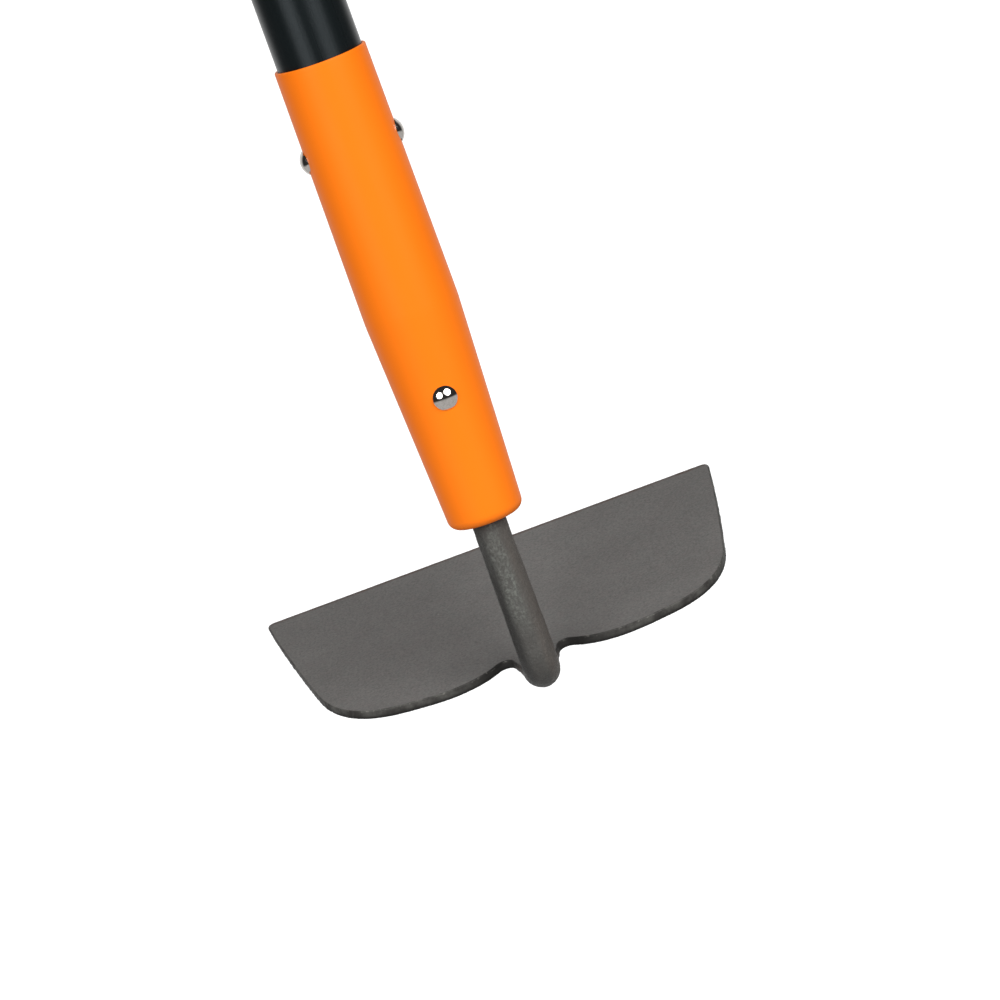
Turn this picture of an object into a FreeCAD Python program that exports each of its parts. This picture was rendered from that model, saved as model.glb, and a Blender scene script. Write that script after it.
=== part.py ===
import FreeCAD, Part
import math
import os

# A long-handled draw hoe, in millimetres. +Z runs up the handle towards its hang hole,
# where the origin is. The blade is at the bottom, its width along X, and it reaches
# forward along +Y from the bent steel neck. Everything is symmetrical about X = 0.

V = FreeCAD.Vector
UP = V(0, 0, 1)
ALONG_X = V(1, 0, 0)
ALONG_Y = V(0, 1, 0)

# Overall
OVERALL_LENGTH = 1500.0  # top of the end cap to the lowest point of the elbow
FIT_GAP = 0.05           # radial gap between pieces that slide together

# Handle tube
TUBE_OD = 28.6
TUBE_WALL = 1.5
TUBE_IN_FERRULE = 86.0   # how far the tube reaches into the ferrule

# Ferrule, a moulded sleeve that joins the tube to the neck
FERRULE_LENGTH = 160.0
FERRULE_MOUTH_OD = 30.95
FERRULE_WAIST_OD = 31.85     # at the step from the straight part to the taper
FERRULE_STRAIGHT = 86.8      # mouth to the taper
FERRULE_END_OD = 25.1        # where the taper meets the rounded end
FERRULE_END_ROUND = 3.6
FERRULE_WALL = 2.2           # along the taper
FERRULE_END_WALL = 8.0
FERRULE_RIM_ROUND = 0.4

# Neck, a round bar with a tang in the ferrule and a tight elbow at the bottom
TANG_OD = 11.7
ELBOW_OD = 12.5
BEND_RADIUS = 9.0            # centre line of the elbow
NECK_SHOWING = 45.4          # ferrule end to the height of the bend's centre
TANG_BELOW_MOUTH = 12.0      # the tang's top end, below the ferrule's mouth
TANG_CHAMFER = 1.5

# Blade, a flat plate that leaves the elbow BLADE_RISE degrees above level
BLADE_RISE = 14.5
BLADE_REACH = 100.4          # cutting edge to the end of the elbow, along the plate
BLADE_HALF_WIDTH = 80.0
BLADE_THICKNESS = 3.2        # at the shoulders
BLADE_THIN = 2.2             # where the grinding starts
BLADE_EDGE = 0.6             # at the cutting edge
GRIND_LENGTH = 9.0
EDGE_CORNER_ROUND = 2.5
SIDE_MIDDLE = (76.6, 33.5)   # (half width, distance from the cutting edge)
SIDE_TOP = (71.9, 67.0)
SHOULDER = [SIDE_TOP, (69.1, 76.8), (63.3, 86.1), (54.2, 92.7), (42.0, 96.1),
            (31.5, 97.4), (21.0, 95.9), (13.1, 91.8)]
NOTCH_BOTTOM = (10.4, 90.9)
NOTCH_END = (8.2, 92.1)
TAB_MIDDLE = (7.3, 95.8)
TAB_HALF_WIDTH = 5.9

# Weld between elbow and tab
WELD_LENGTH = 4.0
WELD_HALF_WIDTH = 8.0        # at the blade end
WELD_PROUD = 0.6             # above the plate's faces, at the blade end

# Rivets: the upper one runs along X, the lower one along Y
RIVET_SHANK_OD = 4.8
RIVET_HEAD_OD = 8.0
RIVET_PROUD = 2.0            # dome above the ferrule's surface
RIVET_SEAT_GAP = 0.05
UPPER_RIVET_BELOW_MOUTH = 30.6
LOWER_RIVET_ABOVE_END = 44.5

# Core halves, moulded around the tang
CORE_GAP = 0.1               # from each half to the split plane

# End cap with the hang hole
CAP_TOP = 15.0               # above the hang hole
CAP_OD = 31.0
CAP_SKIRT_END = -34.0        # where the cap sits on the grip and the tube
CAP_PLUG_LENGTH = 30.0
CAP_PLUG_WALL = 2.5
EYE_THICKNESS = 13.0
EYE_FLAT_START = -15.0       # the flats start here and run up
EYE_ROUND = 1.2              # on the edges of the flats
HANG_HOLE_RADIUS = 4.75

# Grip sleeve
GRIP_LENGTH = 230.0
GRIP_OD = 33.0
GRIP_END_OD = 31.0
GRIP_END_TAPER = 14.0
GRIP_GROOVE_COUNT = 9
GRIP_GROOVE_PITCH = 12.0
GRIP_GROOVE_WIDTH = 3.0
GRIP_GROOVE_DEPTH = 0.7

# Heights that follow
ELBOW_BOTTOM_Z = CAP_TOP - OVERALL_LENGTH
BEND_Z = ELBOW_BOTTOM_Z + ELBOW_OD / 2 + BEND_RADIUS
FERRULE_END_Z = BEND_Z + NECK_SHOWING
MOUTH_Z = FERRULE_END_Z + FERRULE_LENGTH
TAPER_Z = MOUTH_Z - FERRULE_STRAIGHT
TUBE_END_Z = MOUTH_Z - TUBE_IN_FERRULE
TANG_TOP_Z = MOUTH_Z - TANG_BELOW_MOUTH
UPPER_RIVET_Z = MOUTH_Z - UPPER_RIVET_BELOW_MOUTH
LOWER_RIVET_Z = FERRULE_END_Z + LOWER_RIVET_ABOVE_END
CAVITY_FLOOR_Z = FERRULE_END_Z + FERRULE_END_WALL
GRIP_TOP_Z = CAP_SKIRT_END
GRIP_BOTTOM_Z = GRIP_TOP_Z - GRIP_LENGTH
TUBE_OUT = TUBE_OD / 2
TUBE_IN = TUBE_OUT - TUBE_WALL
TANG_R = TANG_OD / 2
ELBOW_R = ELBOW_OD / 2
RISE = math.radians(BLADE_RISE)
TAPER_SLOPE = (FERRULE_WAIST_OD - FERRULE_END_OD) / 2 / (TAPER_Z - FERRULE_END_Z - FERRULE_END_ROUND)


def closed_wire(to_vector, start, *steps):
    """A closed outline. A step is a point to go straight to, or (through, end) for an arc."""
    edges = []
    here = to_vector(*start)
    for step in list(steps) + [start]:
        if isinstance(step[0], tuple):
            through = to_vector(*step[0])
            there = to_vector(*step[1])
            edges.append(Part.Arc(here, through, there).toShape())
        else:
            there = to_vector(*step)
            if (there - here).Length > 1e-6:
                edges.append(Part.LineSegment(here, there).toShape())
        here = there
    return Part.Wire(edges)


def turned(start, *steps):
    """A solid of revolution about Z, from an outline of (radius, height)."""
    wire = closed_wire(lambda radius, height: V(radius, 0, height), start, *steps)
    return Part.Face(wire).revolve(V(0, 0, 0), UP, 360)


def on_round(corner_radius, centre, degrees):
    """The point of a rounded corner at an angle from the outline's first axis to its second."""
    angle = math.radians(degrees)
    return (centre[0] + corner_radius * math.cos(angle), centre[1] + corner_radius * math.sin(angle))


def rod_between(radius, start, end):
    return Part.makeCylinder(radius, (end - start).Length, start, end - start)


def ferrule_radius(height):
    """Outside radius of the ferrule at a height, apart from its rounded ends."""
    if height > TAPER_Z:
        share = (MOUTH_Z - height) / FERRULE_STRAIGHT
        return (FERRULE_MOUTH_OD + share * (FERRULE_WAIST_OD - FERRULE_MOUTH_OD)) / 2
    return FERRULE_WAIST_OD / 2 - (TAPER_Z - height) * TAPER_SLOPE


def rivet_places():
    """Each rivet's height, direction and name."""
    return [("upper_rivet", UPPER_RIVET_Z, ALONG_X), ("lower_rivet", LOWER_RIVET_Z, ALONG_Y)]


def rivet_seat(height):
    """Distance from the axis to the flat under a rivet's head."""
    outside = ferrule_radius(height)
    return math.sqrt(outside ** 2 - (RIVET_HEAD_OD / 2) ** 2)


def drilled(shape, radius, places):
    """The shape with a cross hole through it at each (name, height, direction)."""
    for _, height, along in places:
        middle = V(0, 0, height)
        shape = shape.cut(rod_between(radius, middle - along * 40, middle + along * 40))
    return shape


def make_ferrule():
    mouth = FERRULE_MOUTH_OD / 2
    bore = TUBE_OUT + FIT_GAP
    tip = (FERRULE_END_OD / 2 - FERRULE_END_ROUND, FERRULE_END_Z + FERRULE_END_ROUND)
    rim = (mouth - FERRULE_RIM_ROUND, MOUTH_Z - FERRULE_RIM_ROUND)
    shelf = ferrule_radius(TUBE_END_Z) - FERRULE_WALL
    cavity = ferrule_radius(CAVITY_FLOOR_Z) - FERRULE_WALL
    body = turned(
        (TANG_R + FIT_GAP, FERRULE_END_Z),
        (tip[0], FERRULE_END_Z),
        (on_round(FERRULE_END_ROUND, tip, -45), on_round(FERRULE_END_ROUND, tip, 0)),
        (FERRULE_WAIST_OD / 2, TAPER_Z),
        (mouth, MOUTH_Z - FERRULE_RIM_ROUND),
        (on_round(FERRULE_RIM_ROUND, rim, 45), on_round(FERRULE_RIM_ROUND, rim, 90)),
        (bore, MOUTH_Z),
        (bore, TUBE_END_Z),
        (shelf, TUBE_END_Z),
        (cavity, CAVITY_FLOOR_Z),
        (TANG_R + FIT_GAP, CAVITY_FLOOR_Z))
    body = drilled(body, RIVET_SHANK_OD / 2 + FIT_GAP, rivet_places())
    for _, height, along in rivet_places():
        for side in (-1, 1):
            seat = V(0, 0, height) + along * side * rivet_seat(height)
            body = body.cut(rod_between(RIVET_HEAD_OD / 2 + RIVET_SEAT_GAP, seat, seat + along * side * 5))
    return body


def make_rivet(height, along):
    """A solid rivet with a domed head at each end, on its own axis."""
    seat = rivet_seat(height)
    crown = ferrule_radius(height) + RIVET_PROUD
    head = RIVET_HEAD_OD / 2
    shank = RIVET_SHANK_OD / 2
    dome = crown - seat
    ball = (head ** 2 + dome ** 2) / (2 * dome)
    half_way = math.asin(head / ball) / 2
    shoulder = (ball * math.sin(half_way), crown - ball * (1 - math.cos(half_way)))
    blank = turned(
        (0, -crown),
        ((shoulder[0], -shoulder[1]), (head, -seat)),
        (shank, -seat),
        (shank, seat),
        (head, seat),
        (shoulder, (0, crown)))
    blank.Placement = FreeCAD.Placement(V(0, 0, height), FreeCAD.Rotation(UP, along))
    return blank


def make_neck():
    """Tang, bar that grows a little towards the elbow, and the elbow itself."""
    bar = turned(
        (0, BEND_Z),
        (ELBOW_R, BEND_Z),
        (TANG_R, FERRULE_END_Z),
        (TANG_R, TANG_TOP_Z - TANG_CHAMFER),
        (TANG_R - TANG_CHAMFER, TANG_TOP_Z),
        (0, TANG_TOP_Z))
    section = Part.Face(Part.Wire(Part.makeCircle(ELBOW_R, V(0, 0, BEND_Z), UP)))
    elbow = section.revolve(V(0, BEND_RADIUS, BEND_Z), ALONG_X, 90 + BLADE_RISE)
    neck = bar.fuse(elbow).removeSplitter()
    return drilled(neck, RIVET_SHANK_OD / 2 + FIT_GAP, rivet_places())


def on_blade(shape):
    """Move a shape from the plate's own frame to the end of the elbow.

    In the plate's frame Y runs from the elbow to the cutting edge and Z out of the upper face.
    """
    end_of_elbow = V(0, BEND_RADIUS * (1 + math.sin(RISE)), BEND_Z - BEND_RADIUS * math.cos(RISE))
    placed = shape.copy()
    placed.Placement = FreeCAD.Placement(end_of_elbow, FreeCAD.Rotation(ALONG_X, BLADE_RISE))
    return placed


def blade_point(half_width, from_edge):
    return V(half_width, BLADE_REACH - from_edge, 0)


def half_blade_wire():
    """Right half of the plate's outline, from the middle of the cutting edge round to the tab."""
    centre = (BLADE_HALF_WIDTH - EDGE_CORNER_ROUND, EDGE_CORNER_ROUND)
    corner = on_round(EDGE_CORNER_ROUND, centre, -90)
    corner_through = on_round(EDGE_CORNER_ROUND, centre, -45)
    corner_end = on_round(EDGE_CORNER_ROUND, centre, 0)
    start = (0, 0)
    tab_end = (TAB_HALF_WIDTH, BLADE_REACH)
    shoulder = Part.BSplineCurve()
    shoulder.interpolate([blade_point(*point) for point in SHOULDER])

    def line(a, b):
        return Part.LineSegment(blade_point(*a), blade_point(*b)).toShape()

    def arc(a, b, c):
        return Part.Arc(blade_point(*a), blade_point(*b), blade_point(*c)).toShape()

    return Part.Wire([
        line(start, corner),
        arc(corner, corner_through, corner_end),
        arc(corner_end, SIDE_MIDDLE, SIDE_TOP),
        shoulder.toShape(),
        arc(SHOULDER[-1], NOTCH_BOTTOM, NOTCH_END),
        arc(NOTCH_END, TAB_MIDDLE, tab_end),
        line(tab_end, (0, BLADE_REACH)),
        line((0, BLADE_REACH), start)])


def plate():
    """The blade in its own frame: the outline cut to a side profile that thins to the edge."""
    half = Part.Face(half_blade_wire()).extrude(V(0, 0, BLADE_THICKNESS))
    half.translate(V(0, 0, -BLADE_THICKNESS / 2))
    whole = half.fuse(half.mirror(V(0, 0, 0), ALONG_X)).removeSplitter()
    top = BLADE_THICKNESS / 2
    grind = BLADE_REACH - GRIND_LENGTH
    wide = 2 * BLADE_HALF_WIDTH
    profile = closed_wire(
        lambda along, height: V(-wide / 2, along, height),
        (0, -top),
        (grind, top - BLADE_THIN),
        (BLADE_REACH, top - BLADE_EDGE),
        (BLADE_REACH, top),
        (0, top))
    return whole.common(Part.Face(profile).extrude(V(wide, 0, 0)))


def make_weld():
    """Fused metal that blends the round elbow into the flat tab."""
    half_high = BLADE_THICKNESS / 2 + WELD_PROUD
    inner = WELD_HALF_WIDTH - half_high
    ring = Part.Wire(Part.makeCircle(ELBOW_R, V(0, 0, 0), ALONG_Y))
    flat = closed_wire(
        lambda across, height: V(across, WELD_LENGTH, height),
        (-inner, -half_high),
        (inner, -half_high),
        ((WELD_HALF_WIDTH, 0), (inner, half_high)),
        (-inner, half_high),
        ((-WELD_HALF_WIDTH, 0), (-inner, -half_high)))
    blend = Part.makeLoft([ring, flat], True, True)
    return blend.cut(plate())


def make_core_half(side):
    """One of two moulded halves that centre the tang in the tube and the ferrule."""
    hold = TANG_R + FIT_GAP
    in_tube = TUBE_IN - FIT_GAP
    below_tube = ferrule_radius(TUBE_END_Z) - FERRULE_WALL - FIT_GAP
    at_floor = ferrule_radius(CAVITY_FLOOR_Z) - FERRULE_WALL - FIT_GAP
    whole = turned(
        (hold, CAVITY_FLOOR_Z + FIT_GAP),
        (at_floor, CAVITY_FLOOR_Z + FIT_GAP),
        (below_tube, TUBE_END_Z - FIT_GAP),
        (in_tube, TUBE_END_Z - FIT_GAP),
        (in_tube, TANG_TOP_Z),
        (hold, TANG_TOP_Z))
    whole = drilled(whole, RIVET_SHANK_OD / 2 + FIT_GAP, rivet_places())
    height = TANG_TOP_Z - CAVITY_FLOOR_Z
    low_x = CORE_GAP if side > 0 else -TUBE_OD
    keep = Part.makeBox(TUBE_OD - CORE_GAP, TUBE_OD * 2, height, V(low_x, -TUBE_OD, CAVITY_FLOOR_Z))
    return whole.common(keep)


def make_handle_tube():
    top = CAP_SKIRT_END
    tube = turned((TUBE_IN, TUBE_END_Z), (TUBE_OUT, TUBE_END_Z), (TUBE_OUT, top), (TUBE_IN, top))
    return drilled(tube, RIVET_SHANK_OD / 2 + FIT_GAP, rivet_places()[:1])


def make_grip():
    """A soft sleeve on the top of the tube, with a run of shallow rings."""
    bore = TUBE_OUT + FIT_GAP
    outside = GRIP_OD / 2
    end = GRIP_END_OD / 2
    sleeve = turned(
        (bore, GRIP_BOTTOM_Z),
        (end, GRIP_BOTTOM_Z),
        (outside, GRIP_BOTTOM_Z + GRIP_END_TAPER),
        (outside, GRIP_TOP_Z - GRIP_END_TAPER),
        (end, GRIP_TOP_Z),
        (bore, GRIP_TOP_Z))
    for index in range(GRIP_GROOVE_COUNT):
        from_middle = (index - (GRIP_GROOVE_COUNT - 1) / 2) * GRIP_GROOVE_PITCH
        middle = (GRIP_TOP_Z + GRIP_BOTTOM_Z) / 2 + from_middle
        half = GRIP_GROOVE_WIDTH / 2
        floor = outside - GRIP_GROOVE_DEPTH
        ring = turned(
            (outside + 1, middle - half - 1),
            (outside + 1, middle + half + 1),
            (outside, middle + half),
            ((floor, middle), (outside, middle - half)))
        sleeve = sleeve.cut(ring)
    return sleeve


def make_end_cap():
    """A cap with a plug in the tube and a flattened eye with the hang hole."""
    outside = CAP_OD / 2
    plug = TUBE_IN - FIT_GAP
    plug_end = CAP_SKIRT_END - CAP_PLUG_LENGTH
    body = turned(
        (0, CAP_SKIRT_END + 4),
        (plug - CAP_PLUG_WALL, CAP_SKIRT_END + 4),
        (plug - CAP_PLUG_WALL, plug_end),
        (plug - 1, plug_end),
        (plug, plug_end + 2),
        (plug, CAP_SKIRT_END),
        (outside, CAP_SKIRT_END),
        (outside, CAP_TOP - outside),
        (on_round(outside, (0, CAP_TOP - outside), 45), (0, CAP_TOP)))
    for side in (-1, 1):
        slab = Part.makeBox(40, 20, 60, V(-20, -10, 0))
        slab.translate(V(0, side * (10 + EYE_THICKNESS / 2), EYE_FLAT_START))
        body = body.cut(slab)
    rims = [edge for edge in body.Edges if edge.CenterOfMass.z > EYE_FLAT_START
            and abs(abs(edge.CenterOfMass.y) - EYE_THICKNESS / 2) < 0.01]
    body = body.makeFillet(EYE_ROUND, rims)
    return body.cut(rod_between(HANG_HOLE_RADIUS, V(0, -30, 0), V(0, 30, 0)))


def nodes():
    """Every piece of the hoe, by name."""
    pieces = {
        "blade": on_blade(plate()),
        "neck": make_neck(),
        "neck_weld": on_blade(make_weld()),
        "ferrule": make_ferrule(),
        "core_half_left": make_core_half(-1),
        "core_half_right": make_core_half(1),
        "handle_tube": make_handle_tube(),
        "grip_sleeve": make_grip(),
        "end_cap": make_end_cap(),
    }
    for name, height, along in rivet_places():
        pieces[name] = make_rivet(height, along)
    return pieces


def main():
    os.makedirs("parts", exist_ok=True)
    for name, shape in nodes().items():
        print(name, "valid", shape.isValid(), "solids", len(shape.Solids), "mm3", round(shape.Volume))
        shape.exportStep("parts/" + name + ".step")


main()
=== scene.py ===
import math

import bmesh
import bpy
from mathutils import Matrix, Vector, noise


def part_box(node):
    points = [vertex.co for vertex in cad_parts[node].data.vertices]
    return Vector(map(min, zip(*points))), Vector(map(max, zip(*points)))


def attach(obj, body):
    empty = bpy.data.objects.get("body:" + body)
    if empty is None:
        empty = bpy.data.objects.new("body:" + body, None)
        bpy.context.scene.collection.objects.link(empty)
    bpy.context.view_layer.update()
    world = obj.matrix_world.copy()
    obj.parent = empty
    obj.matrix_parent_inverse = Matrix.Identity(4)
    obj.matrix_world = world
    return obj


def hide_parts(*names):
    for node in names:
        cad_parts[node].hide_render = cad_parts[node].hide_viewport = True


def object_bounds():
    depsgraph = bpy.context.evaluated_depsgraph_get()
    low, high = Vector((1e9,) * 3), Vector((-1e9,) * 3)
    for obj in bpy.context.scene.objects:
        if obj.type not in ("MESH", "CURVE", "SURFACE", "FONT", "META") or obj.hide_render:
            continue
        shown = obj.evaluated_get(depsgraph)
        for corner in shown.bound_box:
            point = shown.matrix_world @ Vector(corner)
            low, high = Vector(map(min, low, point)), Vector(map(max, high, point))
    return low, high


# The looks of a long-handled draw hoe, in metres, in the frame of its CAD model: +Z runs up the
# handle to the hang hole at the origin, and the blade reaches forward along +Y at the bottom.

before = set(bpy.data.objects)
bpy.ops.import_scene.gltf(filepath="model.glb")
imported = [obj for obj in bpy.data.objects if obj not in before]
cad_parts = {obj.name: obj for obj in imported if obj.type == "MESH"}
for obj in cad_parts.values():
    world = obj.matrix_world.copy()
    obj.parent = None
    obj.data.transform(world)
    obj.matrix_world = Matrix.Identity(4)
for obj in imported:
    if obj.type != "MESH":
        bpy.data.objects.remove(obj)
cad_low, cad_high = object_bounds()

MM = 0.001
TURN = 2 * math.pi

# Heights and sizes that the frame gives
FERRULE_END, MOUTH = (corner.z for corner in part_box("ferrule"))
TUBE_LOW, TUBE_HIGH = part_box("handle_tube")
TUBE_RADIUS = TUBE_HIGH.x
GRIP_LOW, GRIP_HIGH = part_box("grip_sleeve")
TANG_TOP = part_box("neck")[1].z
LOWEST = cad_low.z

# Sizes of the shapes made again here, as in the CAD model
TUBE_WALL = 1.5 * MM
FIT_GAP = 0.05 * MM
FERRULE_MOUTH_RADIUS = 15.475 * MM
FERRULE_WAIST_RADIUS = 15.925 * MM
FERRULE_END_RADIUS = 12.55 * MM
FERRULE_STRAIGHT = 86.8 * MM
FERRULE_END_ROUND = 3.6 * MM
FERRULE_END_WALL = 8 * MM
TANG_RADIUS = 5.85 * MM
ELBOW_RADIUS = 6.25 * MM
BEND_RADIUS = 9.0 * MM
BLADE_RISE = math.radians(14.5)
RIVET_HEAD_RADIUS = 4.0 * MM
RIVET_SHANK_RADIUS = 2.4 * MM
RIVET_PROUD = 2.0 * MM

# The neck bends from the handle's line to the blade's, which rises in front of it
BEND_HEIGHT = LOWEST + ELBOW_RADIUS + BEND_RADIUS
ELBOW_END_REACH = BEND_RADIUS * (1 + math.sin(BLADE_RISE))
ELBOW_END_HEIGHT = BEND_HEIGHT - BEND_RADIUS * math.cos(BLADE_RISE)
END_OF_ELBOW = Vector((0, ELBOW_END_REACH, ELBOW_END_HEIGHT))
PLATE_FRAME = Matrix.Translation(END_OF_ELBOW) @ Matrix.Rotation(BLADE_RISE, 4, "X")


# ---------------------------------------------------------------- camera, light and floor

CAMERA_DISTANCE = 2.3
CAMERA_ELEVATION = math.radians(10.1)
CAMERA_AZIMUTH = math.radians(-1.8)
CAMERA_ROLL = math.radians(20.0)
CAMERA_LENS = 255.3
CAMERA_SEES = 200
AIM_ABOVE_FERRULE_END = 4.45 * MM
AIM_RIGHT = 5.8 * MM

# The studio's brightness by direction: the ground begins and is full at these values of Z in a
# direction of length 1, and the wall behind the hoe at these values of Y
ROOM_LIGHT = 0.03
GROUND_LIGHT = 0.5
GROUND_STARTS = -0.14
GROUND_FULL = -0.28
WALL_LIGHT = 0.8
WALL_STARTS = 0.32
WALL_FULL = 0.75

FLOOR_HALF = 60.0
FLOOR_BELOW = 0.15
FLOOR_WHITE = 0.9
FLOOR_ROUGHNESS = 0.9
FLOOR_GLOW = 0.35


def make_camera():
    """A long lens a little above the blade, rolled so that the handle leans to the left."""
    data = bpy.data.cameras.new("camera")
    data.lens = CAMERA_LENS
    data.clip_end = CAMERA_SEES
    camera = bpy.data.objects.new("camera", data)
    bpy.context.scene.collection.objects.link(camera)
    right = Vector((math.cos(CAMERA_AZIMUTH), math.sin(CAMERA_AZIMUTH), 0))
    level = Vector((math.sin(CAMERA_AZIMUTH), -math.cos(CAMERA_AZIMUTH), 0))
    back = level * math.cos(CAMERA_ELEVATION) + Vector((0, 0, math.sin(CAMERA_ELEVATION)))
    aim = Vector((0, 0, FERRULE_END + AIM_ABOVE_FERRULE_END)) + right * AIM_RIGHT
    camera.location = aim + back * CAMERA_DISTANCE
    camera.rotation_mode = "QUATERNION"
    facing = (-back).to_track_quat("-Z", "Y").to_matrix()
    camera.rotation_quaternion = (facing @ Matrix.Rotation(-CAMERA_ROLL, 3, "Z")).to_quaternion()
    bpy.context.scene.camera = camera


def make_sun(name, azimuth, elevation, strength, spread):
    """A round, evenly bright source of a wide angle. All its angles are in degrees, as seen from the hoe."""
    data = bpy.data.lights.new(name, "SUN")
    data.energy = strength
    data.angle = math.radians(spread)
    sun = bpy.data.objects.new(name, data)
    bpy.context.scene.collection.objects.link(sun)
    a = math.radians(azimuth)
    e = math.radians(elevation)
    towards = Vector((math.sin(a) * math.cos(e), -math.cos(a) * math.cos(e), math.sin(e)))
    sun.rotation_mode = "QUATERNION"
    sun.rotation_quaternion = (-towards).to_track_quat("-Z", "Y")


def make_world():
    """A dim studio with a bright wall behind the hoe and a grey ground. The camera itself sees only white."""
    world = bpy.data.worlds.new("studio")
    bpy.context.scene.world = world
    world.use_nodes = True
    tree = world.node_tree
    tree.nodes.clear()
    direction = add_node(tree, "ShaderNodeTexCoord").outputs["Generated"]
    split = add_node(tree, "ShaderNodeSeparateXYZ", sources={"Vector": direction})
    ground = remap(tree, split.outputs["Z"], GROUND_STARTS, GROUND_FULL, ROOM_LIGHT, GROUND_LIGHT)
    behind = remap(tree, split.outputs["Y"], WALL_STARTS, WALL_FULL, 0.0, WALL_LIGHT)
    lit = add_node(tree, "ShaderNodeMath", operation="MAXIMUM")
    tree.links.new(ground, lit.inputs[0])
    tree.links.new(behind, lit.inputs[1])
    seen = add_node(tree, "ShaderNodeLightPath").outputs["Is Camera Ray"]
    strength = add_node(tree, "ShaderNodeMath", operation="MAXIMUM")
    tree.links.new(lit.outputs["Value"], strength.inputs[0])
    tree.links.new(seen, strength.inputs[1])
    white = {"Color": (1, 1, 1, 1)}
    background = add_node(tree, "ShaderNodeBackground", white, {"Strength": strength.outputs["Value"]})
    add_node(tree, "ShaderNodeOutputWorld", sources={"Surface": background.outputs["Background"]})


def make_floor():
    """A white floor below the hoe, which neither lights it nor shows in its polished parts."""
    mesh = bpy.data.meshes.new("floor")
    half = FLOOR_HALF
    z = LOWEST - FLOOR_BELOW
    corners = [(-half, -half, z), (half, -half, z), (half, half, z), (-half, half, z)]
    mesh.from_pydata(corners, [], [(0, 1, 2, 3)])
    floor = bpy.data.objects.new("floor", mesh)
    bpy.context.scene.collection.objects.link(floor)
    paint = bpy.data.materials.new("floor_paint")
    paint.use_nodes = True
    shader = paint.node_tree.nodes["Principled BSDF"]
    shader.inputs["Base Color"].default_value = (FLOOR_WHITE, FLOOR_WHITE, FLOOR_WHITE, 1)
    shader.inputs["Roughness"].default_value = FLOOR_ROUGHNESS
    shader.inputs["Emission Color"].default_value = (1, 1, 1, 1)
    shader.inputs["Emission Strength"].default_value = FLOOR_GLOW
    mesh.materials.append(paint)
    floor.visible_glossy = False
    floor.visible_diffuse = False


# ---------------------------------------------------------------- meshes

SMOOTH_ANGLE = math.radians(35)  # edges that turn by more stay sharp
ROUGH_DIMENSION = 0.6
ROUGH_LACUNARITY = 2.0
ROUGH_OCTAVES = 3
ON_AXIS = 1e-7
MERGE_DISTANCE = 0.001 * MM


def add_shaded(name, mesh, node, material):
    """Puts a mesh, with its smooth and sharp edges set, in the scene as the look of a CAD node."""
    piece = bpy.data.objects.new(name, mesh)
    bpy.context.scene.collection.objects.link(piece)
    mesh.materials.append(material)
    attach(piece, "root")
    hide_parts(node)
    return piece


def add_piece(name, mesh, node, material):
    """Smooths a mesh, apart from its sharp edges, and puts it in the scene."""
    mesh.validate()
    mesh.shade_smooth()
    mesh.set_sharp_from_angle(angle=SMOOTH_ANGLE)
    return add_shaded(name, mesh, node, material)


def rounded(corners, steps):
    """A run of (radius, height) points, with an arc of radius arc at each inner (radius, height, arc)."""
    points = []
    for index, corner in enumerate(corners):
        here = Vector(corner[:2])
        if len(corner) == 2 or index in (0, len(corners) - 1):
            points.append(here)
            continue
        before = (Vector(corners[index - 1][:2]) - here).normalized()
        after = (Vector(corners[index + 1][:2]) - here).normalized()
        arc = corner[2]
        half = before.angle(after) / 2
        back = arc / math.tan(half)
        centre = here + (before + after).normalized() * (arc / math.sin(half))
        first = here + before * back - centre
        last = here + after * back - centre
        turned = first.angle_signed(last)
        for step in range(steps + 1):
            turn = Matrix.Rotation(-turned * step / steps, 2)
            points.append(centre + turn @ first)
    return points


def divided(points, longest):
    """The same run of points with extra ones, so that no step is longer than longest."""
    result = [points[0]]
    for start, end in zip(points, points[1:]):
        count = max(1, math.ceil((end - start).length / longest))
        result += [start.lerp(end, step / count) for step in range(1, count + 1)]
    return result


def lathe(name, points, segments, closed=False):
    """Turns a run of (radius, height) points about Z.

    A closed run makes a ring, and an open one starts and ends on the axis.
    """
    mesh_data = bmesh.new()
    rings = []
    for radius, height in points:
        if radius < ON_AXIS:
            rings.append([mesh_data.verts.new((0, 0, height))])
            continue
        ring = []
        for i in range(segments):
            angle = TURN * i / segments
            ring.append(mesh_data.verts.new((radius * math.cos(angle), radius * math.sin(angle), height)))
        rings.append(ring)
    pairs = list(zip(rings, rings[1:]))
    if closed:
        pairs.append((rings[-1], rings[0]))
    for low, high in pairs:
        for i in range(segments):
            j = (i + 1) % segments
            corners = [low[i % len(low)], low[j % len(low)], high[j % len(high)], high[i % len(high)]]
            mesh_data.faces.new(list(dict.fromkeys(corners)))
    bmesh.ops.recalc_face_normals(mesh_data, faces=mesh_data.faces)
    mesh = bpy.data.meshes.new(name)
    mesh_data.to_mesh(mesh)
    mesh_data.free()
    return mesh


def sweep(name, stations, section, segments):
    """A skin over closed sections. A station is (centre, across, up, arguments for section)."""
    mesh_data = bmesh.new()
    rings = []
    for centre, across, up, arguments in stations:
        ring = []
        for i in range(segments):
            side, height = section(TURN * i / segments, *arguments)
            ring.append(mesh_data.verts.new(centre + across * side + up * height))
        rings.append(ring)
    for low, high in zip(rings, rings[1:]):
        for i in range(segments):
            j = (i + 1) % segments
            mesh_data.faces.new((low[i], low[j], high[j], high[i]))
    mesh_data.faces.new(rings[0])
    mesh_data.faces.new(rings[-1])
    bmesh.ops.recalc_face_normals(mesh_data, faces=mesh_data.faces)
    mesh = bpy.data.meshes.new(name)
    mesh_data.to_mesh(mesh)
    mesh_data.free()
    return mesh


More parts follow.
